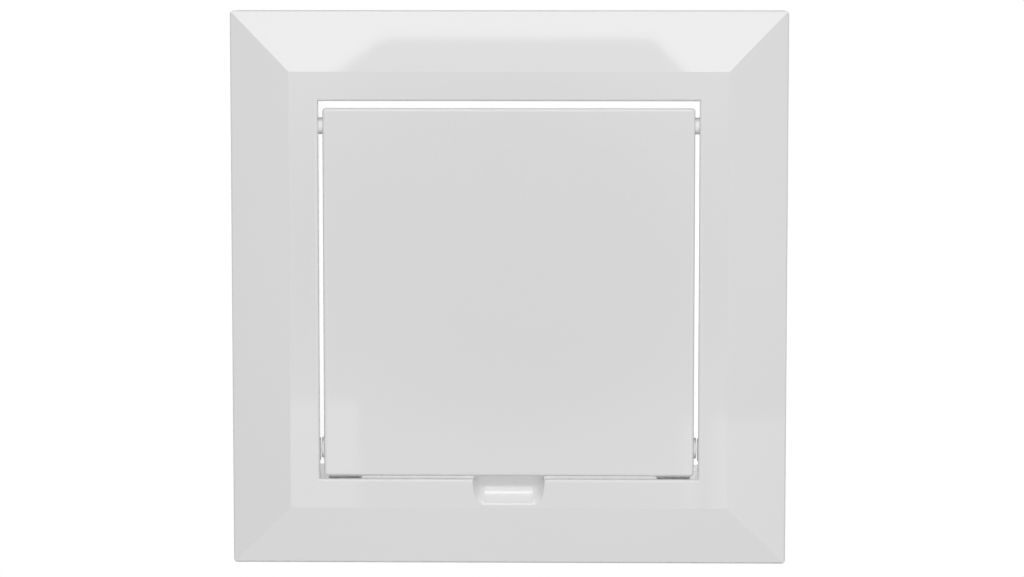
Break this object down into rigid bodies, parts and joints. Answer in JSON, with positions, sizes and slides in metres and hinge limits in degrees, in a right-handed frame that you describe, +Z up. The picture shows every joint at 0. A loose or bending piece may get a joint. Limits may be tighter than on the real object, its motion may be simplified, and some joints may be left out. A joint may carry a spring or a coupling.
{
  "type": "access panel",
  "caption": "Square moulded access panel: a bevelled flange and collar around a top-hinged door that snaps shut, with a finger scoop below it.",
  "frame": {"origin": "centre of the flange's back face, which lies on the wall or ceiling", "axes": "+Y into the wall along the collar, -Y out of the face, +Z up the panel towards the hinge, +X to the right as seen from the front"},
  "size_m": [0.2, 0.036, 0.2],
  "materials": {
    "moulding": "glossy moulded white ABS",
    "pins": "satin white acetal"
  },
  "bodies": {
    "frame": {"frame": "moulding"},
    "door": {"door": "moulding", "hinge_pin_left": "pins", "hinge_pin_right": "pins", "snap_stud_left": "pins", "snap_stud_right": "pins"}
  },
  "joints": [
    {"name": "door_hinge", "type": "hinge", "parent": "frame", "child": "door", "pos_m": [0, -0.0066, 0.059], "axis": [-1, 0, 0], "range_deg": [0, 128]}
  ]
}
